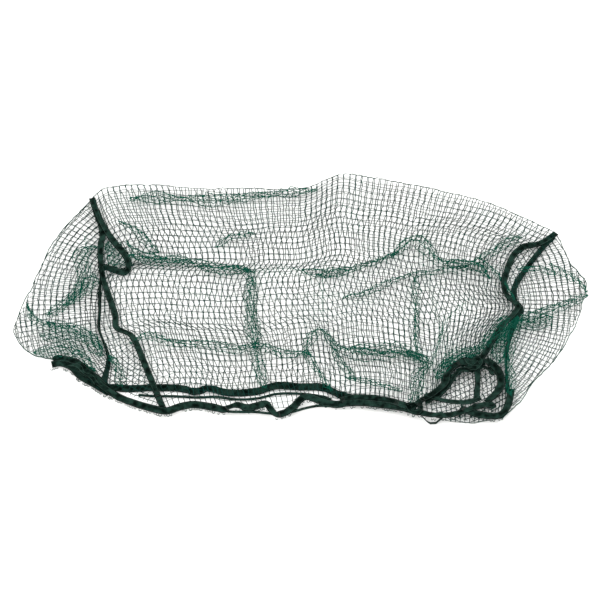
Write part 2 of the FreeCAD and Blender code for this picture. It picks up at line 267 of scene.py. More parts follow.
# The lines that the cover lies along, in shares of its half sizes
lines = {
    "farEdge": [(-0.73, 0.79), (-0.68, 0.87), (-0.54, 0.89), (-0.35, 0.86), (-0.16, 0.86), (0.0, 0.86),
    (0.09, 0.94),
                (0.15, 0.98), (0.26, 0.94), (0.41, 0.88), (0.60, 0.78), (0.69, 0.71), (0.78, 0.62),
                (0.88, 0.51)],
    "frontRim": [(-0.47, -0.88), (-0.40, -0.83), (-0.32, -0.84), (-0.26, -0.87), (-0.18, -0.86),
    (-0.11, -0.88),
                 (-0.04, -0.86), (0.02, -0.78), (0.11, -0.81), (0.20, -0.78), (0.34, -0.82), (0.39, -0.86),
                 (0.43, -0.75), (0.48, -0.66), (0.55, -0.51)],
    "leftFrontSeam": [(-0.73, 0.79), (-0.71, 0.60), (-0.69, 0.46), (-0.70, 0.28), (-0.69, 0.13),
    (-0.65, -0.13),
                      (-0.63, -0.27), (-0.58, -0.34), (-0.53, -0.60), (-0.47, -0.88)],
    "rightFrontSeam": [(0.88, 0.51), (0.82, 0.40), (0.76, 0.37), (0.72, 0.27), (0.70, 0.06), (0.74, -0.09),
                       (0.68, -0.25), (0.65, -0.36), (0.60, -0.50)],
    "backRim": [(-0.68, -0.69), (-0.53, -0.70), (-0.36, -0.71), (-0.25, -0.73), (-0.14, -0.71),
    (-0.01, -0.69),
                (0.06, -0.70), (0.15, -0.78), (0.28, -0.80), (0.42, -0.90), (0.52, -0.96), (0.62, -0.95),
                (0.70, -0.86)],
    "leftBackSeam": [(-0.73, 0.79), (-0.69, 0.58), (-0.63, 0.38), (-0.61, 0.24), (-0.68, 0.16),
    (-0.70, -0.10),
                     (-0.70, -0.25), (-0.67, -0.48), (-0.68, -0.69)],
    "rightBackSeam": [(0.88, 0.51), (0.80, 0.30), (0.74, 0.07), (0.74, -0.09), (0.71, -0.31), (0.71, -0.60),
                      (0.70, -0.86)],
    "leftCrease": [(-0.73, 0.79), (-0.78, 0.67), (-0.87, 0.42), (-0.92, 0.16), (-0.96, -0.05),
    (-0.995, -0.25),
                   (-0.96, -0.40), (-0.91, -0.46), (-0.86, -0.49)],
    "leftRim": [(-0.86, -0.49), (-0.77, -0.53), (-0.72, -0.62), (-0.66, -0.71), (-0.56, -0.82),
    (-0.47, -0.88)],
    "leftRimUnder": [(-0.86, -0.49), (-0.77, -0.57), (-0.68, -0.69)],
    "rightCrease": [(0.88, 0.51), (0.93, 0.28), (0.985, 0.12), (0.97, -0.02), (0.955, -0.15), (0.88, -0.46),
                    (0.80, -0.64), (0.75, -0.80), (0.68, -0.95)],
    "rightHem": [(0.50, -0.94), (0.56, -0.98), (0.62, -0.97), (0.68, -0.95)],
    "rightInner": [(0.88, 0.51), (0.82, 0.40), (0.76, 0.37), (0.72, 0.27), (0.70, 0.06), (0.74, -0.09),
                   (0.68, -0.25), (0.60, -0.50), (0.53, -0.58), (0.44, -0.78), (0.45, -0.92), (0.50, -0.94)],
    "rightBackUnder": [(0.70, -0.86), (0.69, -0.91), (0.68, -0.95)],
}
planLines = {name: smoothLine(place(points)) for name, points in lines.items()}


def fillPatch(top, bottom, left, right, acrossTop, acrossBottom, downLeft, downRight):
    u = acrossTop[None, :, None]
    v = downLeft[:, None, None]
    t, b = readAlong(top, acrossTop)[None], readAlong(bottom, acrossBottom)[None]
    l, r = readAlong(left, downLeft)[:, None], readAlong(right, downRight)[:, None]
    corners = (1 - u) * (1 - v) * top[0] + u * (1 - v) * top[-1]
    corners = corners + (1 - u) * v * bottom[0] + u * v * bottom[-1]
    return (1 - v) * t + v * b + (1 - u) * l + u * r - corners


def nearestOn(line, plan):
    shape = plan.shape[:-1]
    flat = plan.reshape(-1, 2)
    gaps = ((flat[:, None] - line[None]) ** 2).sum(-1)
    spot = gaps.argmin(1)
    share = spot / (len(line) - 1)
    return line[spot].reshape(*shape, 2), np.sqrt(gaps.min(1)).reshape(shape), share.reshape(shape)


def ripple(plan, seed, length, size):
    pick = np.random.default_rng(seed)
    total = np.zeros(plan.shape[:-1])
    for _ in range(7):
        angle, phase = pick.uniform(0, fullTurn), pick.uniform(0, fullTurn)
        wave = length * pick.uniform(0.6, 1.6)
        far = plan[..., 0] * math.cos(angle) + plan[..., 1] * math.sin(angle)
        total += np.sin(far * fullTurn / wave + phase)
    return total * size / 2.6  # seven waves together reach about this far


def isInside(outline, plan):
    x, y = plan[..., 0], plan[..., 1]
    inside = np.zeros(x.shape, bool)
    for (ax, ay), (bx, by) in zip(outline, np.roll(outline, -1, axis=0)):
        if ay != by:
            inside ^= ((ay > y) != (by > y)) & (x < (bx - ax) * (y - ay) / (by - ay) + ax)
    return inside


foldLean = {"start": 0.012, "perLift": 1.5}  # a raised fold leans towards the rim


def foldPath(points, lift, steps):
    path = smoothLine(place(points), steps)
    path[:, 1] -= foldLean["start"] + foldLean["perLift"] * lift
    return path


def pressFolds(plan, height, folds, hold):
    heap = np.zeros(height.shape)
    for points, width, pull, lift in folds:
        path = foldPath(points, lift, 10)
        near, gap, share = nearestOn(path, plan)
        ends = easing(share / 0.15) * easing((1 - share) / 0.15)
        weight = ends * np.exp(-((gap / width) ** 2)) * hold
        plan = plan + (near - plan) * (pull * weight)[..., None]
        height = height + lift * weight
        # heap weighs where the twine is heaped; the material paints a glow of scattered light there
        heap = np.maximum(heap, weight)
    return plan, height, heap


def startTree(name, sizes):
    tree = bpy.data.node_groups.new(name, "GeometryNodeTree")
    sockets = tree.interface
    sockets.new_socket("Geometry", in_out="INPUT", socket_type="NodeSocketGeometry")
    for label, value in sizes.items():
        kind = "NodeSocketInt" if isinstance(value, int) else "NodeSocketFloat"
        sockets.new_socket(label, in_out="INPUT", socket_type=kind).default_value = value
    sockets.new_socket("Material", in_out="INPUT", socket_type="NodeSocketMaterial")
    sockets.new_socket("Geometry", in_out="OUTPUT", socket_type="NodeSocketGeometry")
    given = addNode(tree, "NodeGroupInput").outputs
    curves = addNode(tree, "GeometryNodeMeshToCurve", {"Mesh": given["Geometry"]})
    return tree, given, curves.outputs["Curve"]


def endTree(tree, given, geometry):
    painted = addNode(tree, "GeometryNodeSetMaterial", {"Geometry": geometry, "Material": given["Material"]})
    addNode(tree, "NodeGroupOutput", {"Geometry": painted.outputs["Geometry"]})
    return tree


def twineTree():
    tree, given, curves = startTree("knotless netting", {
        "Twine radius": 0.0009, "Sides": 5, "Joint radius": 0.0017})
    ring = addNode(tree, "GeometryNodeCurvePrimitiveCircle", {
        "Resolution": given["Sides"], "Radius": given["Twine radius"]})
    girth = addNode(tree, "GeometryNodeInputNamedAttribute", {"Name": "girth"}, data_type="FLOAT")
    twine = addNode(tree, "GeometryNodeCurveToMesh", {
        "Curve": curves, "Profile Curve": ring.outputs["Curve"], "Scale": girth.outputs["Attribute"],
        "Fill Caps": True})
    crossing = addNode(tree, "GeometryNodeInputNamedAttribute", {"Name": "crossing"}, data_type="BOOLEAN")
    blob = addNode(tree, "GeometryNodeMeshIcoSphere", {"Radius": given["Joint radius"], "Subdivisions": 1})
    blobs = addNode(tree, "GeometryNodeInstanceOnPoints", {
        "Points": given["Geometry"], "Selection": crossing.outputs["Attribute"],
        "Instance": blob.outputs["Mesh"],
        "Scale": (1.0, 1.0, 0.7)})
    real = addNode(tree, "GeometryNodeRealizeInstances", {"Geometry": blobs.outputs["Instances"]})
    both = addNode(tree, "GeometryNodeJoinGeometry")
    tree.links.new(twine.outputs["Mesh"], both.inputs["Geometry"])
    tree.links.new(real.outputs["Geometry"], both.inputs["Geometry"])
    smooth = addNode(tree, "GeometryNodeSetShadeSmooth", {"Geometry": both.outputs["Geometry"]})
    return endTree(tree, given, smooth.outputs["Geometry"])


def stitchTree():
    tree, given, curves = startTree("lockstitch rows", {
        "Stitch pitch": 0.0042, "Stitch length": 0.0030, "Thread radius": 0.00045})
    spaced = addNode(tree, "GeometryNodeResampleCurve", {"Curve": curves, "Length": given["Stitch pitch"]},
                     mode="LENGTH")
    stitch = addNode(tree, "GeometryNodeMeshCylinder", {
        "Vertices": 6, "Radius": given["Thread radius"], "Depth": given["Stitch length"]})
    heading = addNode(tree, "GeometryNodeInputTangent")
    turn = addNode(tree, "FunctionNodeAlignRotationToVector", {
        "Vector": heading.outputs["Tangent"]}, axis="Z")
    laid = addNode(tree, "GeometryNodeInstanceOnPoints", {
        "Points": spaced.outputs["Curve"], "Instance": stitch.outputs["Mesh"],
        "Rotation": turn.outputs["Rotation"]})
    real = addNode(tree, "GeometryNodeRealizeInstances", {"Geometry": laid.outputs["Instances"]})
    return endTree(tree, given, real.outputs["Geometry"])


def fringeTree():
    tree, given, curves = startTree("cut mesh loops", {
        "Loop pitch": 0.008, "Loop radius": 0.0045, "Twine radius": 0.0011, "Kept": 0.66})
    spaced = addNode(tree, "GeometryNodeResampleCurve", {"Curve": curves, "Length": given["Loop pitch"]},
                     mode="LENGTH")
    arc = addNode(tree, "GeometryNodeCurveArc", {
        "Resolution": 8, "Radius": given["Loop radius"],
        "Start Angle": math.radians(170), "Sweep Angle": math.radians(200)})
    ring = addNode(tree, "GeometryNodeCurvePrimitiveCircle", {
        "Resolution": 5, "Radius": given["Twine radius"]})
    loop = addNode(tree, "GeometryNodeCurveToMesh", {
        "Curve": arc.outputs["Curve"], "Profile Curve": ring.outputs["Curve"], "Fill Caps": True})
    keep = addNode(tree, "FunctionNodeRandomValue", {
        "Probability": given["Kept"], "Seed": 4}, data_type="BOOLEAN")
    size = addNode(tree, "FunctionNodeRandomValue", {
        "Min": (0.5, 0.5, 0.8), "Max": (1.0, 1.5, 1.2), "Seed": 9}, data_type="FLOAT_VECTOR")
    heading = addNode(tree, "GeometryNodeInputTangent")
    turn = addNode(tree, "FunctionNodeAlignRotationToVector", {
        "Vector": heading.outputs["Tangent"]}, axis="X", pivot_axis="Z")
    laid = addNode(tree, "GeometryNodeInstanceOnPoints", {
        "Points": spaced.outputs["Curve"], "Selection": keep.outputs[3], "Instance": loop.outputs["Mesh"],
        "Rotation": turn.outputs["Rotation"], "Scale": size.outputs[0]})
    real = addNode(tree, "GeometryNodeRealizeInstances", {"Geometry": laid.outputs["Instances"]})
    return endTree(tree, given, real.outputs["Geometry"])


twineNodes, stitchNodes, fringeNodes = twineTree(), stitchTree(), fringeTree()


def growOn(name, vertices, edges, tree, values, marks=None):
    base = bpy.data.meshes.new(name + " path")
    base.from_pydata([tuple(v) for v in vertices], edges, [])
    for mark, numbers in (marks or {}).items():
        kind = "BOOLEAN" if mark == "crossing" else "FLOAT"
        base.attributes.new(mark, kind, "POINT").data.foreach_set("value", numbers)
    holder = bpy.data.objects.new(name + " path", base)
    bpy.context.collection.objects.link(holder)
    nodes = holder.modifiers.new("nodes", "NODES")
    nodes.node_group = tree
    for item in tree.interface.items_tree:
        if item.in_out == "INPUT" and item.name in values:
            nodes[item.identifier] = values[item.name]
    bpy.context.view_layer.update()
    shown = holder.evaluated_get(bpy.context.evaluated_depsgraph_get())
    mesh = bpy.data.meshes.new_from_object(shown)
    mesh.name = name
    bpy.data.objects.remove(holder)
    made = bpy.data.objects.new(name.replace(" ", "_"), mesh)
    bpy.context.collection.objects.link(made)
    return made


netting = {"twineRadius": 0.00098, "sides": 5, "jointRadius": 0.0016, "columnGirth": 1.22, "rowGirth": 0.74,
           "wobble": 0.0010, "zigzag": 0.0007, "slow": (0.25, 0.004), "swell": (0.3, 0.0016),
           "farRound": 0.012, "endRound": 0.008, "calm": {"side": 0.03, "rim": 0.04, "far": 0.02, "end": 0.03},
           "pitchReach": 0.52, "endPitch": 0.0175}  # the ends are drawn in by their folds
pleats = {"pitchAlong": 0.013, "pitchAcross": 0.008, "crumple": 0.0028, "rough": 0.0012, "heap": 1.0,
          "widen": 1.35, "taper": 0.12, "narrowest": 0.25, "uneven": 0.35, "unevenLength": 0.16}


def strandsOf(plan, height, inside, heap):
    full = np.concatenate([plan, height[..., None], np.broadcast_to(heap, height.shape)[..., None]], -1)
    girths = (netting["columnGirth"], netting["rowGirth"])  # the wales are stouter than the bars between them
    runs = []
    for across in (0, 1):
        grid, shown = (full, inside) if across else (full.transpose(1, 0, 2), inside.T)
        for k in range(0, len(grid), 2):
            run, knots = [], []
            for j in range(grid.shape[1] + 1):
                if j < grid.shape[1] and shown[k, j]:
                    run.append(grid[k, j])
                    knots.append(across == 0 and j % 2 == 0)
                elif run:
                    if len(run) > 2:
                        runs.append((run, knots, girths[across]))
                    run, knots = [], []
    return runs


def knit(name, runs):
    vertices, edges, crossing, girth = [], [], [], []
    for run, knots, stout in runs:
        start = len(vertices)
        girth.extend([stout] * len(run))
        vertices.extend(run)
        edges.extend((k, k + 1) for k in range(start, len(vertices) - 1))
        crossing.extend(knots)
    values = {"Twine radius": netting["twineRadius"], "Sides": netting["sides"],
              "Joint radius": netting["jointRadius"], "Material": twineMaterial}
    heaps = [v[3] for v in vertices]
    marks = {"crossing": crossing, "heapedGlow": heaps, "girth": girth}
    made = growOn(name, [v[:3] for v in vertices], edges, twineNodes, values, marks)
    print("netting", name, sum(len(f.vertices) - 2 for f in made.data.polygons), "triangles")
    return made


def shake(plan, seed):
    pick = np.random.default_rng(seed)
    coarse = pick.normal(0, netting["wobble"], plan.shape)
    slow = np.stack([ripple(plan, seed + k, *netting["slow"]) for k in (1, 2)], -1)
    rows, columns = np.indices(plan.shape[:2]) // 2
    even = (np.indices(plan.shape[:2]) % 2 == 0).all(0)
    slow[..., 0] += netting["zigzag"] * np.where((rows + columns) % 2, 1, -1) * even
    return plan + coarse + slow


# The folds that lie in the netting: points, half width, pull towards the line, lift
upperFolds = [
    ([(-0.62, 0.80), (-0.45, 0.79), (-0.30, 0.79), (-0.15, 0.82), (0.02, 0.86)], 0.016, 0.9, 0.010),
    ([(-0.61, 0.46), (-0.54, 0.34), (-0.40, 0.31), (-0.30, 0.27), (-0.19, 0.24), (-0.04, 0.26), (0.07, 0.19),
      (0.20, 0.27),
      (0.32, 0.38), (0.38, 0.48), (0.43, 0.46), (0.45, 0.38), (0.51, 0.31), (0.58, 0.30), (0.65, 0.22)],
      0.020, 1.0, 0.016),
    ([(-0.63, 0.64), (-0.56, 0.54), (-0.51, 0.40)], 0.014, 1.1, 0.012),
    ([(0.06, 0.83), (0.17, 0.71), (0.21, 0.52)], 0.008, 0.9, 0.006),
    ([(-0.19, 0.28), (-0.17, -0.25), (-0.14, -0.70)], 0.022, 1.0, 0.010),
    ([(0.07, 0.24), (0.07, 0.05), (0.07, -0.15)], 0.012, 0.8, 0.006),
    ([(0.38, 0.20), (0.39, -0.10), (0.39, -0.38), (0.42, -0.50), (0.38, -0.80)], 0.014, 0.9, 0.008),
    ([(-0.59, -0.33), (-0.53, -0.27), (-0.42, -0.33), (-0.23, -0.37), (-0.14, -0.35), (-0.08, -0.40),
      (0.03, -0.40)],
     0.014, 1.15, 0.012),
    ([(0.00, -0.42), (0.02, -0.30), (0.06, -0.22), (0.10, -0.32), (0.16, -0.38), (0.24, -0.41), (0.34, -0.40),
      (0.43, -0.48)], 0.013, 1.2, 0.014),
    ([(0.02, -0.40), (0.05, -0.54), (0.10, -0.70)], 0.010, 0.9, 0.006),
    ([(0.10, -0.34), (0.13, -0.46), (0.18, -0.60)], 0.010, 0.9, 0.006),
    ([(0.60, 0.05), (0.50, -0.15), (0.46, -0.40), (0.42, -0.62)], 0.018, 0.7, 0.008),
]
lowerFolds = [
    ([(-0.45, 0.10), (-0.20, 0.02), (0.10, 0.06), (0.35, -0.02)], 0.012, 0.6, 0.002),
    ([(-0.17, 0.40), (-0.16, -0.10), (-0.13, -0.60)], 0.016, 0.8, 0.003),
    ([(0.40, 0.50), (0.45, 0.05), (0.52, -0.55)], 0.016, 0.6, 0.003),
]
leftFolds = [
    ([(-0.96, 0.02), (-0.94, -0.09), (-0.88, -0.17), (-0.78, -0.19), (-0.70, -0.29)], 0.014, 1.2, 0.010),
    ([(-0.72, 0.15), (-0.79, 0.01), (-0.89, -0.19)], 0.010, 0.9, 0.006),
    ([(-0.76, 0.55), (-0.74, 0.30), (-0.72, 0.10)], 0.012, 0.8, 0.006),
]
rightFolds = [
    ([(0.88, 0.26), (0.93, 0.18), (0.98, 0.12)], 0.010, 0.9, 0.006),
    ([(0.75, -0.16), (0.84, -0.10), (0.90, -0.04), (0.98, 0.03)], 0.012, 1.1, 0.010),
    ([(0.75, -0.12), (0.71, -0.31), (0.71, -0.60), (0.72, -0.74)], 0.012, 1.1, 0.010),
]


def makeStrip(rim, leftSeam, rightSeam, columns, rows, bend, base, folds, seed):
    u = np.linspace(0, 1, 2 * columns + 1)
    v = np.linspace(0, 1, 2 * rows + 1)
    gathered = 1 - (1 - u) ** bend
    edges = [planLines[n] for n in ("farEdge", rim, leftSeam, rightSeam)]
    plan = fillPatch(*edges, u, gathered, v, v)
    uu, vv = np.meshgrid(u, v)
    calm = netting["calm"]  # how near an edge the netting stops wandering
    hold = easing(np.minimum(uu, 1 - uu) / calm["side"]) * easing((1 - vv) / calm["rim"])
    hold = hold * easing(vv / calm["far"])
    plan = plan + (shake(plan, seed) - plan) * hold[..., None]
    height = base + ripple(plan, seed + 5, *netting["swell"]) * hold
    plan, height, heap = pressFolds(plan, height, folds, hold)
    middle = (upperHeight + lowerHeight) / 2
    height = middle + (height - middle) * (1 - np.exp(-vv * 0.8 / netting["farRound"]))
    return strandsOf(plan, np.maximum(height, lowestTwine), np.ones(plan.shape[:2], bool), heap)


def makePleat(points, width, base, lift, seed):
    path = foldPath(points, lift, 16)
    steps = max(4, int(lineLength(path) / pleats["pitchAlong"]))
    share = np.linspace(0, 1, 2 * steps + 1)
    spots = readAlong(path, share)
    heading = np.gradient(spots, axis=0)
    heading /= np.linalg.norm(heading, axis=1)[:, None]
    aside = np.stack([-heading[:, 1], heading[:, 0]], -1)
    width = width * pleats["widen"]
    lanes = max(2, int(2 * width / pleats["pitchAcross"]))
    offsets = np.linspace(-1, 1, 2 * lanes + 1)
    pick = np.random.default_rng(seed)
    narrow = np.clip(np.minimum(share, 1 - share) / pleats["taper"], pleats["narrowest"], 1)
    narrow = narrow * (1 + pleats["uneven"] * ripple(spots, seed, pleats["unevenLength"], 1.0))
    spread = width * narrow[:, None] * offsets[None]
    plan = spots[:, None] + aside[:, None] * spread[..., None]
    plan = plan + pick.normal(0, pleats["crumple"], plan.shape)
    height = base + lift * (1 - offsets[None] ** 2) * narrow[:, None]
    height = height + pick.normal(0, pleats["rough"], plan.shape[:2])
    return strandsOf(plan, np.maximum(height, lowestTwine), np.ones(plan.shape[:2], bool), pleats["heap"])


edgeStrand = {"step": 0.01, "wave": (0.07, 0.0022), "shake": 0.0008}


def alongEdge(lineName, height, heap=0.3):
    line = planLines[lineName]
    count = int(lineLength(line) / edgeStrand["step"])
    spots = readAlong(line, np.linspace(0, 1, count + 1))
    slow = np.stack([ripple(spots, seed, *edgeStrand["wave"]) for seed in (6, 8)], -1)
    spots = spots + np.random.default_rng(5).normal(0, edgeStrand["shake"], spots.shape) + slow
    run = [np.array([x, y, height, heap]) for x, y in spots]
    return [(run, [k % 2 == 0 for k in range(len(run))], 1.0)]


def makeFan(sides, crease, centre, reach, turn, base, folds, seed):
    outline = np.vstack([planLines[n][::-1] if back else planLines[n] for n, back in sides])
    middleReach = netting["pitchReach"]
    radii = np.arange(reach[0], reach[1], netting["endPitch"] / 2)
    angles = np.radians(np.arange(turn[0], turn[1], math.degrees(netting["endPitch"] / 2 / middleReach)))
    rr, aa = np.meshgrid(radii, angles)
    plan = np.array(centre) + np.stack([rr * np.cos(aa), rr * np.sin(aa)], -1)
    plan = shake(plan, seed)
    _, gap, _ = nearestOn(planLines[crease], plan)
    hold = easing(gap / netting["calm"]["end"])
    inside = isInside(outline, plan)
    height = base + ripple(plan, seed + 5, *netting["swell"])
    plan, height, heap = pressFolds(plan, height, folds, hold)
    _, gap, _ = nearestOn(planLines[crease], plan)
    middle = (upperHeight + lowerHeight) / 2
    height = middle + (height - middle) * (1 - np.exp(-gap / netting["endRound"]))
    return strandsOf(plan, np.maximum(height, lowestTwine), inside, heap)


# Pleats lie on the netting where more of it is heaped: points, half width, lift above the layer
centrePleats = [
    ([(-0.60, 0.80), (-0.50, 0.81), (-0.40, 0.80), (-0.30, 0.79), (-0.18, 0.82), (-0.05, 0.85),
      (0.05, 0.87)], 0.012, 0.004),
    ([(-0.61, 0.47), (-0.57, 0.38), (-0.48, 0.32), (-0.36, 0.31), (-0.28, 0.26), (-0.19, 0.26)],
      0.011, 0.012),
    ([(-0.60, 0.36), (-0.52, 0.33), (-0.43, 0.33), (-0.38, 0.30)], 0.012, 0.008),
    ([(0.05, 0.20), (0.12, 0.22), (0.20, 0.27), (0.28, 0.33), (0.33, 0.39)], 0.009, 0.008),
    ([(-0.36, 0.29), (-0.30, 0.25), (-0.23, 0.26), (-0.18, 0.25)], 0.010, 0.012),
    ([(0.31, 0.37), (0.36, 0.47), (0.40, 0.49), (0.44, 0.42), (0.47, 0.33), (0.54, 0.31), (0.61, 0.29),
      (0.65, 0.20)],
     0.011, 0.016),
    ([(0.60, 0.31), (0.66, 0.38), (0.71, 0.46), (0.76, 0.50)], 0.009, 0.008),
    ([(0.50, 0.31), (0.58, 0.29), (0.64, 0.24)], 0.008, 0.010),
    ([(0.62, 0.32), (0.67, 0.22), (0.71, 0.10), (0.735, 0.00)], 0.005, 0.006),
    ([(0.00, 0.24), (0.08, 0.22), (0.16, 0.24)], 0.007, 0.006),
    ([(0.14, 0.02), (0.22, 0.06), (0.30, 0.14), (0.38, 0.20), (0.48, 0.23), (0.58, 0.27)], 0.006, 0.006),
    ([(-0.64, 0.63), (-0.58, 0.56), (-0.54, 0.46), (-0.50, 0.38)], 0.010, 0.008),
    ([(-0.30, 0.42), (-0.24, 0.50), (-0.17, 0.52)], 0.008, 0.004),
    ([(-0.20, 0.26), (-0.175, 0.18), (-0.18, 0.0), (-0.17, -0.22), (-0.16, -0.36)], 0.015, 0.010),
    ([(-0.165, -0.36), (-0.15, -0.50), (-0.13, -0.68)], 0.008, 0.006),
    ([(-0.59, -0.33), (-0.53, -0.27), (-0.44, -0.33), (-0.33, -0.34), (-0.22, -0.38), (-0.14, -0.35),
      (-0.07, -0.41),
      (0.03, -0.41)], 0.010, 0.008),
    ([(0.01, -0.42), (0.02, -0.31), (0.05, -0.23), (0.08, -0.24), (0.11, -0.33), (0.17, -0.39), (0.26, -0.41),
      (0.34, -0.40), (0.42, -0.47)], 0.010, 0.014),
    ([(0.17, -0.37), (0.25, -0.39), (0.34, -0.39), (0.40, -0.45)], 0.014, 0.006),
    ([(0.39, 0.18), (0.395, -0.05), (0.39, -0.30), (0.41, -0.45)], 0.006, 0.006),
    ([(0.36, -0.40), (0.43, -0.47), (0.40, -0.58), (0.39, -0.70), (0.37, -0.82)], 0.012, 0.008),
    ([(0.02, -0.42), (0.05, -0.54), (0.10, -0.70)], 0.007, 0.006),
    ([(0.10, -0.36), (0.13, -0.48), (0.18, -0.62)], 0.006, 0.006),
    ([(0.48, -0.52), (0.54, -0.44), (0.60, -0.40), (0.65, -0.30), (0.70, -0.20), (0.74, -0.13)],
      0.020, 0.006),
    ([(0.46, -0.60), (0.52, -0.49), (0.60, -0.46)], 0.018, 0.008),
    ([(0.745, -0.13), (0.72, -0.28), (0.71, -0.45), (0.71, -0.62), (0.71, -0.74)], 0.011, 0.006),
    ([(0.73, -0.14), (0.69, -0.28), (0.67, -0.40), (0.68, -0.50)], 0.016, 0.004),
    ([(-0.67, 0.44), (-0.64, 0.34), (-0.66, 0.26)], 0.020, 0.000),
    ([(0.15, -0.62), (0.24, -0.66), (0.34, -0.72)], 0.005, 0.000),
    ([(-0.66, -0.45), (-0.63, -0.56), (-0.62, -0.68)], 0.010, 0.000),
]
leftPleats = [
    ([(-0.95, -0.03), (-0.93, -0.14), (-0.88, -0.21), (-0.79, -0.23), (-0.72, -0.29), (-0.69, -0.38)],
      0.009, 0.006),
    ([(-0.72, 0.42), (-0.77, 0.36), (-0.76, 0.20), (-0.80, 0.02), (-0.88, -0.12)], 0.012, 0.006),
    ([(-0.72, 0.20), (-0.75, 0.08), (-0.82, -0.04)], 0.012, 0.006),
    ([(-0.88, -0.18), (-0.80, -0.26), (-0.73, -0.34), (-0.69, -0.44)], 0.012, 0.004),
    ([(-0.92, -0.42), (-0.84, -0.40), (-0.76, -0.45), (-0.71, -0.56)], 0.014, 0.004),
    ([(-0.90, -0.28), (-0.82, -0.34), (-0.75, -0.42)], 0.010, 0.004),
]
rightPleats = [
    ([(0.86, 0.28), (0.91, 0.21), (0.96, 0.14), (0.985, 0.06)], 0.008, 0.006),
    ([(0.75, -0.14), (0.80, -0.11), (0.87, -0.06), (0.94, 0.00), (0.985, 0.04)], 0.012, 0.008),
    ([(0.74, -0.18), (0.80, -0.20), (0.86, -0.14)], 0.016, 0.004),
    ([(0.75, 0.24), (0.82, 0.24), (0.88, 0.20)], 0.006, 0.004),
]


def manyPleats(given, base, seed):
    runs = []
    for k, (points, width, lift) in enumerate(given):
        runs += makePleat(points, width, base, lift, seed + k)
    return runs


pleatBase = upperHeight + 0.002
frontNet = knit("front and top netting", makeStrip(
    "frontRim", "leftFrontSeam", "rightFrontSeam", 78, 39, 1.23, upperHeight, upperFolds, 11)
    + alongEdge("farEdge", 0.012))
backNet = knit("back netting", makeStrip(
    "backRim", "leftBackSeam", "rightBackSeam", 80, 36, 1.1, lowerHeight, lowerFolds, 23))
foldedNet = knit("folded netting", manyPleats(centrePleats, pleatBase, 60))
leftUpper = knit("left end netting", makeFan(
    [("leftCrease", 0), ("leftRim", 0), ("leftFrontSeam", 1)], "leftCrease", (-0.285, -0.01), (0.10, 0.75),
    (100, 300),
    upperHeight, leftFolds, 31) + manyPleats(leftPleats, pleatBase, 90) + alongEdge("leftCrease", 0.011))
leftLower = knit("left end netting underneath", makeFan(
    [("leftCrease", 0), ("leftRimUnder", 0), ("leftBackSeam", 1)], "leftCrease", (-0.24, -0.05),
    (0.10, 0.80), (100, 300),
    lowerHeight, [], 37) + alongEdge("leftCrease", 0.008))
rightUpper = knit("right end netting", makeFan(
    [("rightInner", 0), ("rightHem", 0), ("rightCrease", 1)], "rightCrease", (0.29, -0.03), (0.10, 0.75),
    (-95, 70),
    upperHeight, rightFolds, 41) + manyPleats(rightPleats, pleatBase, 120) + alongEdge("rightCrease", 0.011)
    + alongEdge("rightHem", 0.011))
rightLower = knit("right end netting underneath", makeFan(
    [("rightBackSeam", 0), ("rightBackUnder", 0), ("rightCrease", 1)], "rightCrease", (0.25, 0.0),
    (0.10, 0.75), (-95, 70),
    lowerHeight, [], 43) + alongEdge("rightCrease", 0.008))

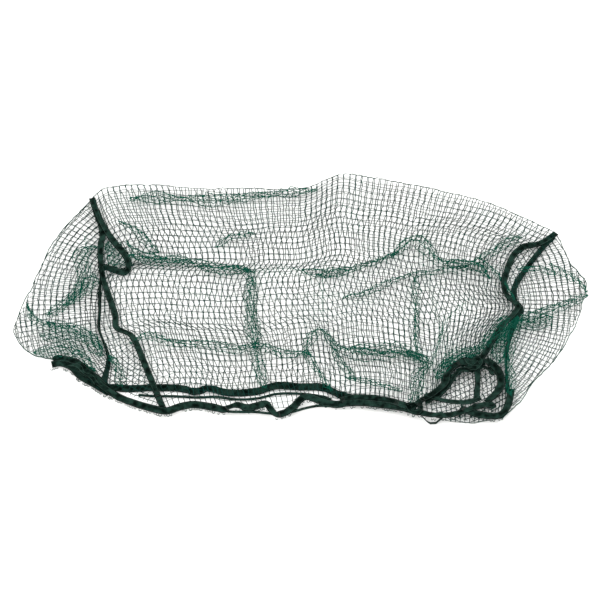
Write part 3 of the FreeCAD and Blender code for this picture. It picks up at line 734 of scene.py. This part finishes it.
# Tapes: (across, up the plan, height in mm, tilt in degrees); a doubled tape is one folded ribbon
tapes = {
    "front rim tape": ("centre", 0.023, [
        (-0.73, -0.62, 18, 0), (-0.69, -0.70, 20, 0), (-0.63, -0.79, 21, -10), (-0.56, -0.85, 21, -20),
        (-0.47, -0.90, 22, -20), (-0.42, -0.87, 21, -25), (-0.37, -0.85, 22, -30), (-0.31, -0.87, 21, -30),
        (-0.27, -0.89, 22, -10), (-0.25, -0.87, 25, 20), (-0.22, -0.855, 25, 0), (-0.19, -0.875, 22, -20),
        (-0.16, -0.865, 25, -30), (-0.125, -0.845, 28, -10), (-0.11, -0.88, 25, 20), (-0.09, -0.925, 22, 10),
        (-0.06, -0.915, 21, -20), (-0.03, -0.87, 22, -20), (-0.005, -0.81, 25, -10), (0.02, -0.79, 27, -20),
        (0.06, -0.82, 24, -30), (0.11, -0.85, 22, -30), (0.15, -0.84, 22, -20), (0.20, -0.835, 23, -20),
        (0.29, -0.855, 23, -20), (0.34, -0.875, 23, -10), (0.38, -0.90, 24, 0)]),
    "thin edge under the rim": ("centre", 0.008, [
        (-0.27, -0.90, 17, -20), (-0.22, -0.905, 16, -20), (-0.16, -0.905, 16, -20), (-0.10, -0.92, 17, -20),
        (-0.04, -0.91, 18, -20), (0.01, -0.88, 18, -20), (0.06, -0.86, 18, -20), (0.12, -0.87, 19, -20)]),
    "rim tape overlap": ("centre", 0.022, [
        (0.13, -0.82, 25, -20), (0.17, -0.80, 25, -25), (0.22, -0.80, 26, -20), (0.29, -0.82, 26, -25),
        (0.34, -0.85, 26, -20), (0.37, -0.88, 27, -10)]),
    "back rim tape": ("centre", 0.023, [
        (-0.69, -0.69, 5, 0), (-0.60, -0.71, 5, -20), (-0.50, -0.705, 6, -20), (-0.42, -0.71, 6, -20),
        (-0.365, -0.735, 6, -10), (-0.32, -0.715, 8, -20), (-0.25, -0.745, 6, -20), (-0.16, -0.735, 6, -20),
        (-0.09, -0.695, 9, -20), (-0.01, -0.70, 7, -20), (0.07, -0.705, 6, -20), (0.13, -0.76, 6, -10),
        (0.24, -0.82, 6, 0), (0.34, -0.86, 6, 0), (0.40, -0.90, 6, 0)]),
    "back rim tape flap": ("centre", 0.008, [
        (-0.56, -0.755, 3, -10), (-0.50, -0.765, 3, -10), (-0.44, -0.765, 3, -10), (-0.36, -0.775, 3, -10),
        (-0.30, -0.77, 3, -10), (-0.22, -0.79, 3, -10), (-0.15, -0.78, 3, -10), (-0.09, -0.75, 4, -10),
        (-0.03, -0.745, 4, -10), (0.05, -0.76, 3, -10), (0.10, -0.79, 3, -10)]),
    "left rim tape": ("left_end", 0.022, [
        (-0.855, -0.50, 10, -10), (-0.835, -0.49, 15, -20), (-0.80, -0.51, 18, -30), (-0.77, -0.53, 20, -20),
        (-0.745, -0.58, 20, -10), (-0.72, -0.62, 20, -10), (-0.68, -0.70, 20, 0)]),
    "left rim tape underneath": ("left_end", 0.022, [
        (-0.86, -0.53, 9, -10), (-0.83, -0.52, 10, -20), (-0.79, -0.56, 9, -20), (-0.76, -0.62, 8, -10),
        (-0.72, -0.67, 7, 0),
        (-0.66, -0.75, 7, 0)]),
    "left rim tape gathered": ("left_end", 0.018, [
        (-0.80, -0.54, 22, 10), (-0.765, -0.56, 25, -20), (-0.75, -0.61, 26, 10), (-0.72, -0.64, 25, -20),
        (-0.705, -0.69, 24, 0)]),
    "left front seam tape": ("centre", 0.020, [
        (-0.735, 0.78, 12, 0), (-0.725, 0.70, 18, 0), (-0.71, 0.60, 21, 0), (-0.70, 0.53, 21, 30),
        (-0.695, 0.46, 22, 0),
        (-0.70, 0.40, 23, 0), (-0.70, 0.28, 21, 20), (-0.69, 0.13, 21, 20), (-0.665, -0.03, 21, 0),
        (-0.645, -0.16, 21, 0),
        (-0.64, -0.255, 24, 10), (-0.60, -0.30, 25, 0), (-0.58, -0.34, 23, 0), (-0.555, -0.46, 21, 0),
        (-0.525, -0.62, 21, 0), (-0.50, -0.75, 22, 0), (-0.475, -0.88, 24, 0)]),
    "left back seam tape": ("centre", 0.021, [
        (-0.72, 0.68, 19, 0), (-0.705, 0.60, 22, 0), (-0.68, 0.50, 23, 0), (-0.65, 0.41, 23, 0),
        (-0.62, 0.33, 23, 10),
        (-0.605, 0.26, 23, 20), (-0.605, 0.20, 24, 40), (-0.625, 0.18, 24, 55), (-0.66, 0.205, 22, 60),
        (-0.69, 0.215, 18, 65), (-0.70, 0.10, 13, 70), (-0.70, -0.10, 12, 68), (-0.70, -0.26, 12, 66),
        (-0.675, -0.40, 12, 60), (-0.665, -0.50, 11, 60), (-0.68, -0.67, 8, 20)]),
    "right front seam tape": ("centre", 0.020, [
        (0.885, 0.50, 12, 0), (0.85, 0.435, 18, 0), (0.815, 0.40, 21, 0), (0.775, 0.385, 23, 30),
        (0.74, 0.33, 21, 20),
        (0.72, 0.25, 21, 10), (0.70, 0.12, 21, 30), (0.70, 0.04, 21, 30), (0.715, -0.02, 21, 20),
        (0.745, -0.085, 22, 0),
        (0.73, -0.15, 24, -20), (0.69, -0.24, 23, 0), (0.66, -0.34, 22, 0), (0.635, -0.43, 22, 0),
        (0.605, -0.53, 24, 0),
        (0.60, -0.60, 25, 20), (0.60, -0.70, 25, 30), (0.595, -0.80, 25, 10)]),
    "right back seam tape": ("centre", 0.017, [
        (0.875, 0.47, 10, 0), (0.84, 0.39, 12, 10), (0.80, 0.28, 13, 20), (0.76, 0.16, 13, 30),
        (0.735, 0.06, 13, 30),
        (0.735, -0.03, 13, 30), (0.755, -0.10, 13, 20), (0.735, -0.20, 10, 50), (0.705, -0.40, 8, 65),
        (0.70, -0.58, 7, 60),
        (0.705, -0.74, 6, 30)]),
    "upper loop of rim tape": ("centre", 0.025, [
        (0.37, -0.88, 24, 0), (0.40, -0.83, 26, 10), (0.44, -0.78, 27, 0), (0.485, -0.70, 28, -10),
        (0.50, -0.61, 28, 20),
        (0.53, -0.54, 30, 10), (0.565, -0.52, 32, -20), (0.60, -0.535, 31, -35), (0.63, -0.52, 32, -20),
        (0.655, -0.55, 31, 0), (0.675, -0.61, 30, 20), (0.68, -0.69, 28, 10), (0.665, -0.76, 27, 0),
        (0.63, -0.83, 26, -20)]),
    "inner run of rim tape": ("centre", 0.017, [
        (0.42, -0.83, 22, 0), (0.46, -0.79, 23, 10), (0.495, -0.72, 24, 20), (0.52, -0.64, 25, 20),
        (0.545, -0.585, 26, 10),
        (0.58, -0.58, 28, -20), (0.61, -0.56, 29, -20), (0.64, -0.58, 28, 10), (0.655, -0.62, 28, 30)]),
    "knotted top of the loop": ("centre", 0.020, [
        (0.555, -0.50, 33, 30), (0.58, -0.53, 36, -30), (0.60, -0.50, 37, 20), (0.615, -0.54, 35, -30),
        (0.59, -0.57, 33, 20), (0.565, -0.55, 31, 0)]),
    "cross strap": ("centre", 0.016, [
        (0.42, -0.77, 25, 0), (0.445, -0.80, 25, -10), (0.49, -0.825, 26, -20), (0.54, -0.835, 27, -20),
        (0.58, -0.825, 28, -10),
        (0.61, -0.80, 28, 10)]),
    "lower loop of rim tape": ("centre", 0.020, [
        (0.40, -0.91, 22, 0), (0.44, -0.93, 23, 0), (0.49, -0.935, 24, -20), (0.53, -0.92, 24, -20),
        (0.57, -0.89, 25, -20),
        (0.60, -0.865, 27, 0), (0.64, -0.85, 27, -20), (0.655, -0.88, 25, 20)]),
    "bottom band": ("centre", 0.022, [
        (0.54, -0.875, 23, 0), (0.575, -0.91, 23, -20), (0.61, -0.93, 22, -20), (0.65, -0.94, 22, -10),
        (0.68, -0.925, 22, 0),
        (0.70, -0.87, 21, 0), (0.71, -0.80, 19, 10), (0.715, -0.73, 17, 10)]),
    "thin loop": ("centre", 0.013, [
        (0.385, -0.89, 20, 60), (0.41, -0.94, 14, 70), (0.43, -0.975, 9, 75), (0.45, -0.985, 8, 75),
        (0.475, -0.95, 12, 75),
        (0.49, -0.93, 16, 60)]),
    "rim knot": ("centre", 0.018, [
        (0.36, -0.85, 27, 0), (0.385, -0.84, 30, 20), (0.405, -0.87, 31, 40), (0.395, -0.91, 27, 30),
        (0.37, -0.905, 24, 10),
        (0.36, -0.87, 26, 0)]),
}
tangled = {"upper loop of rim tape", "inner run of rim tape", "lower loop of rim tape", "rim knot",
           "bottom band", "knotted top of the loop", "left rim tape", "left rim tape underneath",
           "left rim tape gathered", "cross strap"}
tapeShape = {"lively": 0.09, "tangled": 0.26, "routeHeight": 0.018, "drop": 0.75, "thickness": 0.0022,
             "step": 0.005, "ribHeight": 0.0003, "waver": 0.031, "stitchInset": 0.0032, "threadRise": 0.0006,
             "cup": 0.0006, "turn": 6.283, "restless": (0.021, 0.037, 0.0093), "restlessLift": 0.004}


def layTape(name, width, route, lively):
    knots = np.array([(*place(p[:2]), p[2] / 1000, math.radians(p[3])) for p in route])
    knots[:, 1] -= np.maximum(0, knots[:, 2] - tapeShape["routeHeight"]) * tapeShape["drop"]
    line = smoothLine(knots, 24)
    count = max(6, int(lineLength(line[:, :3]) / tapeShape["step"]))
    spots = readAlong(line, np.linspace(0, 1, count + 1))
    tangent = np.gradient(spots[:, :3], axis=0)
    tangent /= np.linalg.norm(tangent, axis=1)[:, None]
    side = np.cross(tangent, (0, 0, 1))
    side /= np.linalg.norm(side, axis=1)[:, None]
    up = np.cross(side, tangent)
    reach = np.linspace(0, lineLength(line[:, :3]), count + 1)
    phase = len(name) * 1.7
    middling, long, short = tapeShape["restless"]
    restless = np.sin(reach / middling + phase) + np.sin(reach / long + 2 * phase)
    restless = restless + 0.6 * np.sin(reach / short)
    tilt = spots[:, 3:] + (restless * lively)[:, None]
    spots[:, 2] += np.abs(restless) * lively * tapeShape["restlessLift"]
    across = side * np.cos(tilt) + up * np.sin(tilt)
    out = up * np.cos(tilt) - side * np.sin(tilt)
    far = np.concatenate([[0], np.cumsum(np.linalg.norm(np.diff(spots[:, :3], axis=0), axis=1))])
    half, thick = width / 2, tapeShape["thickness"] / 2
    # section of the tape: share of its half width, and which face
    ring = [(s, 1) for s in (-0.92, -0.6, -0.25, 0.1, 0.45, 0.78, 0.95)] + [(1.0, 0.35), (1.0, -0.35)]
    ring += [(s, -1) for s in (0.95, 0.5, 0.0, -0.5, -0.95)] + [(-1.0, -0.5), (-1.0, 0.5)]
    vertices, places = [], []
    for k in range(count + 1):
        rib = tapeShape["ribHeight"] * math.cos(far[k] * tapeShape["turn"] / meshPitch)
        for s, level in ring:
            lean = 1 + 0.03 * math.sin(far[k] * tapeShape["turn"] / tapeShape["waver"] + s)
            cup = tapeShape["cup"] * (s * s)
            proud = level * (thick + rib) + cup
            vertices.append(spots[k, :3] + across[k] * (s * half * lean) + out[k] * proud)
            places.append((far[k], s * half))
    n = len(ring)
    faces = []
    for k in range(count):
        for j in range(n):
            faces.append((k * n + j, k * n + (j + 1) % n, (k + 1) * n + (j + 1) % n, (k + 1) * n + j))
    faces.append(tuple(range(n))[::-1])
    faces.append(tuple(range(count * n, count * n + n)))
    mesh = bpy.data.meshes.new(name)
    low = min(v[2] for v in vertices)
    shift = max(0.0, tapeShape["threadRise"] - low)  # clear of the ground by a thread
    mesh.from_pydata([(v[0], v[1], v[2] + shift) for v in vertices], [], faces)
    layer = mesh.uv_layers.new(name="UVMap")
    for loop in mesh.loops:
        layer.data[loop.index].uv = places[loop.vertex_index]
    mesh.polygons.foreach_set("use_smooth", [True] * len(mesh.polygons))
    mesh.materials.append(tapeMaterial)
    mesh.update()
    made = bpy.data.objects.new(name.replace(" ", "_"), mesh)
    bpy.context.collection.objects.link(made)
    rows = []
    for s in (-1, 1):
        inset = half - tapeShape["stitchInset"]
        proud = out * (thick + tapeShape["threadRise"])
        rows.append(spots[:, :3] + across * (s * inset) + proud + np.array([0, 0, shift]))
    return made, rows


tapePieces, stitchPieces, stitchLines = {}, {}, {}
for name, (body, width, route) in tapes.items():
    piece, rows = layTape(name, width, route, tapeShape["tangled" if name in tangled else "lively"])
    tapePieces[name], stitchLines[name] = piece, rows
    vertices, edges = [], []
    for row in rows:
        edges += [(len(vertices) + k, len(vertices) + k + 1) for k in range(len(row) - 1)]
        vertices += list(row)
    thread = {"Material": threadMaterial}
    stitchPieces[name] = growOn("stitches of " + name, vertices, edges, stitchNodes, thread)
print("tapes laid", len(tapes))

# Dense rows of thread across the tape hold its ends and laps: share of its length
tackShares = {"rim tape overlap": (0.04, 0.62), "front rim tape": (0.27, 0.70),
              "left front seam tape": (0.985,), "upper loop of rim tape": (0.05, 0.36),
              "bottom band": (0.10,), "rim knot": (0.5,)}
tackStitch = {"points": 8, "pitch": 0.0016, "radius": 0.0010}
tackPieces = {}
for name, shares in tackShares.items():
    vertices, edges = [], []
    left, right = stitchLines[name]
    for share in shares:
        for step in (-1, 0, 1):
            k = min(len(left) - 1, max(0, round(share * (len(left) - 1)) + step))
            lift = np.array([0, 0, tapeShape["threadRise"]])
            for turn in range(tackStitch["points"]):
                across = (right[k] - left[k]) * turn / (tackStitch["points"] - 1)
                vertices.append(left[k] + across + lift)
                if turn:
                    edges.append((len(vertices) - 2, len(vertices) - 1))
    tackPieces[name] = growOn("bar tacks of " + name, vertices, edges, stitchNodes,
                              {"Material": tackMaterial, "Stitch pitch": tackStitch["pitch"],
                               "Thread radius": tackStitch["radius"]})

# Cut mesh loops stick out along the outer edge of the rim
fringes = {"front rim tape": 0.0125, "lower loop of rim tape": 0.011, "left rim tape underneath": 0.014,
           "upper loop of rim tape": -0.017, "bottom band": 0.011}
fringeDrop = 0.004  # they hang this far below the middle of the tape
fringePieces = {}
for name, reach in fringes.items():
    body, width, route = tapes[name]
    line = smoothLine([(*place(p[:2]), p[2] / 1000 - fringeDrop) for p in route], 12)
    raised = np.maximum(0, line[:, 2] + fringeDrop - tapeShape["routeHeight"])
    line[:, 1] -= reach + raised * tapeShape["drop"]
    joins = [(k, k + 1) for k in range(len(line) - 1)]
    fringePieces[name] = growOn("fringe of " + name, np.maximum(line, (-9, -9, 0.003)), joins, fringeNodes,
                                {"Material": twineMaterial})

# What rides on what
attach(frontNet, "centre")
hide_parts("front_panel_net", "top_panel_net")
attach(backNet, "centre")
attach(foldedNet, "centre")
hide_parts("back_panel_net")
bendHalf, bendHeight = 0.015, 0.022  # half of the width that bends, and the height of the fold lines
# A point on the right end's fold line, and the level way square to that line
rightAxis = (Vector((0.65487, -0.41812, bendHeight)), Vector((0.97553, -0.219868, 0)))
for made, nodes in ((leftUpper, ["left_end_net_inner", "left_end_net_fold"]),
                    (leftLower, ["left_end_net_fold"])):
    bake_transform(made)
    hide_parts(*nodes)
for made, nodes in ((rightUpper, ["right_end_net_inner", "right_end_net_fold"]),
                    (rightLower, ["right_end_net_fold"])):
    spot, across = rightAxis
    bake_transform(made)
    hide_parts(*nodes)
# A tape stands for the node of its own name, and for these
alsoStands = {
    "left rim tape underneath": ["left_rim_tape"], "left front seam tape": ["left_seam_tape_turn"],
    "right front seam tape": ["right_seam_tape_turn", "right_seam_tape_tail"],
    "upper loop of rim tape": ["right_rim_upper_loop"], "lower loop of rim tape": ["right_rim_lower_loop"],
}
threads = {
    "front rim tape": ["front_rim_stitches"],
    "back rim tape": ["back_rim_stitches"], "left front seam tape": ["left_front_seam_stitches"],
    "right front seam tape": ["right_front_seam_stitches"],
}
for name, (body, width, route) in tapes.items():
    ownNode = name.replace(" ", "_")
    stands = ([ownNode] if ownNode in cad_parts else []) + alsoStands.get(name, [])
    for piece, slot, nodes in ((tapePieces[name], "webbing", stands),
                               (stitchPieces[name], "thread", threads.get(name))):
        if nodes:
            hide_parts(*nodes)
        if body == "left_end":
            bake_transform(piece)
        else:
            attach(piece, body)
for name, piece in tackPieces.items():
    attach(piece, "centre")
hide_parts("overlap_bar_tacks")
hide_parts("seam_end_bar_tacks")
for name, piece in fringePieces.items():
    if tapes[name][0] == "left_end":
        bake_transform(piece)
    else:
        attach(piece, "centre")
